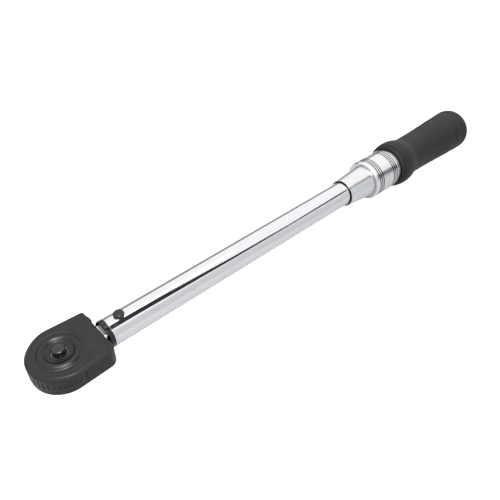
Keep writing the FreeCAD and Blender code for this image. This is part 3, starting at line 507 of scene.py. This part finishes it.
def moulded(name, colour, rough, grain, depth, specular):
    """Black moulded plastic or rubber with a fine spark-eroded grain and slight handling marks."""
    g = Graph(name)
    fine = g.noise(grain, detail=5.0, rough=0.65)
    cells = g.cells(grain * 1.7)
    cloud = g.noise(11.0, detail=3.0)
    specks = g.ramp(g.noise(grain * 1.3, detail=2.0), 0.62, 0.72, 0.0, 1.0)
    tone = g.mix(g.ramp(cloud, 0.3, 0.7, 0.0, 1.0), tuple(c * 0.82 for c in colour),
                 tuple(c * 1.15 for c in colour))
    tone = g.mix(g.math("MULTIPLY", specks, 0.35), tone, tuple(min(1.0, c * 2.0) for c in colour))
    roughness = g.math("ADD", g.ramp(fine, 0.3, 0.7, rough - 0.05, rough + 0.05),
                       g.ramp(cloud, 0.3, 0.7, -0.04, 0.04))
    normal = g.bump(fine, depth, g.bump(cells, depth * 1.3))
    return g.finish(tone, roughness, normal, Specular_IOR_Level=specular)


def oxide(name, colour, rough, specular):
    """Blackened steel: dark, slightly uneven and a little shiny, with a paler rubbed tone in spots."""
    g = Graph(name)
    fine = g.noise(0.25, detail=5.0)
    rubbed = g.ramp(g.noise(2.2, detail=5.0, rough=0.7), 0.55, 0.78, 0.0, 1.0)
    tone = g.mix(rubbed, colour, tuple(min(1.0, c * 2.3 + 0.01) for c in colour))
    roughness = g.math("ADD", g.ramp(fine, 0.3, 0.7, rough - 0.04, rough + 0.04),
                       g.math("MULTIPLY", rubbed, -0.05))
    normal = g.bump(fine, 0.003, g.bump(g.noise(1.6), 0.004))
    return g.finish(tone, roughness, normal, Specular_IOR_Level=specular)


def enamel(name):
    """Gloss black enamel with a hard clear top."""
    g = Graph(name)
    ripple = g.noise(1.8, detail=2.0)
    dust = g.ramp(g.noise(0.16, detail=2.0), 0.7, 0.76, 0.0, 1.0)
    tone = g.mix(ripple, (0.003, 0.003, 0.004), (0.006, 0.005, 0.007))
    roughness = g.math("ADD", g.ramp(ripple, 0.3, 0.7, 0.10, 0.16), g.math("MULTIPLY", dust, 0.15))
    return g.finish(tone, roughness, g.bump(ripple, 0.006), Specular_IOR_Level=0.25, Coat_Weight=0.25,
                    Coat_Roughness=0.06)


FINISHES = {
    "tube_chrome": (plated, (0.63, 0.635, 0.65), 0.045, 0.05),
    # 28.5 is the x below which shade is painted on the head steel inside the housing.
    "neck_chrome": (plated, (0.74, 0.74, 0.75), 0.16, 0.08, 28.5),
    "ball_steel": (plated, (0.6, 0.6, 0.61), 0.08, 0.04),
    "satin_steel": (turned_metal, (0.66, 0.67, 0.68), 0.22, 0.12, 0.0012),
    # Painted shade: the last tuple darkens the floors of the lock ring's grooves.
    "satin_ring": (turned_metal, (0.68, 0.69, 0.7), 0.2, 0.1, 0.001, (320.5, 348.8, 18.2, 18.6)),
    "machined_steel": (turned_metal, (0.52, 0.52, 0.53), 0.3, 0.18, 0.002),
    "spring_steel": (oxide, (0.09, 0.085, 0.08), 0.35, 0.7),
    "black_oxide": (oxide, (0.008, 0.008, 0.009), 0.26, 0.3),
    "drive_black": (oxide, (0.02, 0.02, 0.021), 0.38, 0.5),
    "gloss_black": (enamel,),
    "black_cover": (moulded, (0.0075, 0.0075, 0.008), 0.31, 0.16, 0.002, 0.28),
    "black_housing": (moulded, (0.007, 0.007, 0.0075), 0.34, 0.16, 0.002, 0.2),
    "black_dial": (moulded, (0.007, 0.007, 0.0075), 0.31, 0.14, 0.0015, 0.26),
    "button_black": (moulded, (0.006, 0.006, 0.0065), 0.13, 0.1, 0.0004, 0.5),
    "grip_rubber": (moulded, (0.009, 0.009, 0.009), 0.52, 0.2, 0.006, 0.22),
    "cap_black": (moulded, (0.02, 0.02, 0.02), 0.5, 0.2, 0.006, 0.35),
}
MATERIALS = {name: make(name, *values) for name, (make, *values) in FINISHES.items()}

NODE_SLOTS = {
    "tube": "tube_chrome", "neck_bush": "gloss_black", "load_nut": "machined_steel",
    "load_nut_pins": "machined_steel", "main_spring": "spring_steel", "ratchet_head": "neck_chrome",
    "lower_housing": "black_housing", "cover_screws": "black_oxide", "housing_screws": "black_oxide",
    "thrust_washer": "machined_steel", "snap_ring": "spring_steel", "pawl_pin": "machined_steel",
    "reversing_dial": "black_dial", "pawl_spring": "spring_steel", "pawl": "machined_steel",
    "drive_gear": "drive_black", "release_pin": "machined_steel", "release_spring": "spring_steel",
    "detent_ball": "ball_steel", "tilt_block": "machined_steel", "thrust_plunger": "machined_steel",
    "rear_spring_seat": "machined_steel", "thrust_ball": "ball_steel", "load_screw": "machined_steel",
    "thimble_sleeve": "satin_steel", "lock_balls": "ball_steel", "lock_ring": "satin_ring",
    "lock_spring": "spring_steel", "end_nut": "machined_steel", "end_cap": "cap_black",
}


def paint(obj, material):
    """Give the whole of obj one material."""
    obj.data.materials.clear()
    obj.data.materials.append(material)


for node, slot_name in NODE_SLOTS.items():
    paint(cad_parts[node], MATERIALS[slot_name])
paint(make_grip(), MATERIALS["grip_rubber"])
paint(make_cover(), MATERIALS["black_cover"])
paint(make_button(), MATERIALS["button_black"])
paint(make_pin(), MATERIALS["black_oxide"])


# ---------------------------------------------------------------- floor, light and camera

def sheet_at(name, z, tones, glow):
    """A large pale sheet at height z. Its glow keeps the paper white in the object's shade."""
    side = 2500.0
    floor = make_mesh(name, [(-side, -side, z), (side, -side, z), (side, side, z), (-side, side, z)],
                      [(0, 1, 2, 3)], flat=True)
    g = Graph(name + "_paper")
    paper = g.noise(0.8, detail=3.0)
    tone = g.mix(g.noise(180.0, detail=2.0), *tones)
    paint(floor, g.finish(tone, g.ramp(paper, 0.3, 0.7, 0.85, 0.95), g.bump(paper, 0.01),
                          Specular_IOR_Level=0.1, Emission_Color=(1.0, 1.0, 1.0, 1.0),
                          Emission_Strength=glow))
    return floor


def make_floor():
    """White paper under the wrench, and below it the duller sheet that lights and mirrors from."""
    z = CAD_BOX[0].z / MM - 0.2
    paper = sheet_at("floor", z, ((0.5, 0.5, 0.5), (0.52, 0.52, 0.52)), 0.8)
    paper.visible_diffuse = False
    paper.visible_glossy = False
    paper.visible_shadow = False
    bounce = sheet_at("floor_bounce", z - 0.1, ((0.37, 0.37, 0.38), (0.4, 0.4, 0.41)), 0.08)
    bounce.visible_camera = False


def make_card(name, outline, tones):
    """A felt card that only reflections see. Its outline is pairs of points along two long edges."""
    count = len(outline)
    verts = [first for first, _ in outline] + [second for _, second in outline]
    faces = [(i, i + 1, count + i + 1, count + i) for i in range(count - 1)]
    card = make_mesh(name, verts, faces, flat=True)
    g = Graph(name + "_felt")
    cloth = g.noise(5.0)
    paint(card, g.finish(g.mix(cloth, *tones), g.ramp(cloth, 0.3, 0.7, 0.9, 1.0),
                         g.bump(g.noise(1.0), 0.1), Specular_IOR_Level=0.0))
    card.visible_camera = False
    card.visible_diffuse = False
    card.visible_shadow = False


def make_cards():
    """The surroundings in the metal: a dark card over the camera, which draws the line along the
    tube, a dark one low in front for the handle, and pale ones far in front and behind."""
    high = 600.0
    black, grey = ((0.045, 0.043, 0.05), (0.06, 0.057, 0.066)), ((0.26, 0.26, 0.27), (0.3, 0.3, 0.31))
    make_card("dark_card", [
        ((180, -400, high), (150, -10, high)),
        ((284, -398, high), (245, -20, high)),
        ((589, -569, high), (508, -313, high)),
        ((805, -610, high), (715, -413, high)),
        ((998, -550, high), (882, -327, high)),
    ], black)
    make_card("low_card", [
        ((900, -620, 110), (960, -620, 440)),
        ((1500, -620, 110), (1500, -620, 440)),
    ], black)
    make_card("front_card", [
        ((-1500, -1400, -10), (-1500, -1400, 1250)),
        ((3500, -1400, -10), (3500, -1400, 1250)),
    ], ((0.78, 0.785, 0.79), (0.82, 0.825, 0.83)))
    make_card("grey_card", [
        ((-1500, 1400, -10), (-1500, 1400, 520)),
        ((3500, 1400, -10), (3500, 1400, 520)),
    ], grey)


def make_light(name, place, aim, wide, long, power):
    """A soft rectangular light."""
    data = bpy.data.lights.new(name, "AREA")
    data.shape = "RECTANGLE"
    data.size = wide * MM
    data.size_y = long * MM
    data.energy = power
    light = bpy.data.objects.new(name, data)
    bpy.context.scene.collection.objects.link(light)
    light.location = Vector(place) * MM
    light.rotation_euler = (Vector(aim) - Vector(place)).to_track_quat("-Z", "Y").to_euler()


def make_lights():
    make_light("overhead", (120, 60, 900), (120, 0, 0), 1000, 260, 1.8)
    make_light("key", (-100, -330, 800), (0, 0, 10), 700, 350, 5.4)
    make_light("lamp", (-60, -380, 760), (0, 0, 10), 110, 110, 3.4)


def make_world():
    """Even white light from all round."""
    world = bpy.data.worlds.new("studio")
    bpy.context.scene.world = world
    world.use_nodes = True
    world.node_tree.nodes["Background"].inputs["Color"].default_value = (1.0, 1.0, 1.0, 1.0)
    world.node_tree.nodes["Background"].inputs["Strength"].default_value = 1.45


def make_camera():
    """The view from in front of the head, high on the near side."""
    azimuth, elevation, roll = (math.radians(a) for a in (-43.42, 42.41, 1.63))
    target, distance = Vector((170.38, -1.81, 10.5)), 472.71
    back = Vector((math.sin(azimuth) * math.cos(elevation), -math.cos(azimuth) * math.cos(elevation),
                   math.sin(elevation)))
    right = Vector((math.cos(azimuth), math.sin(azimuth), 0.0))
    up = back.cross(right)
    side = math.cos(roll) * right + math.sin(roll) * up
    top = -math.sin(roll) * right + math.cos(roll) * up
    data = bpy.data.cameras.new("camera")
    data.sensor_width = 36.0
    data.lens = 41.23
    data.clip_start = 0.01
    camera = bpy.data.objects.new("camera", data)
    bpy.context.scene.collection.objects.link(camera)
    turn = Matrix((side, top, back)).transposed().to_4x4()
    camera.matrix_world = Matrix.Translation((target + back * distance) * MM) @ turn
    bpy.context.scene.camera = camera


make_floor()
make_cards()
make_lights()
make_world()
make_camera()
bpy.context.scene.view_settings.view_transform = "Standard"
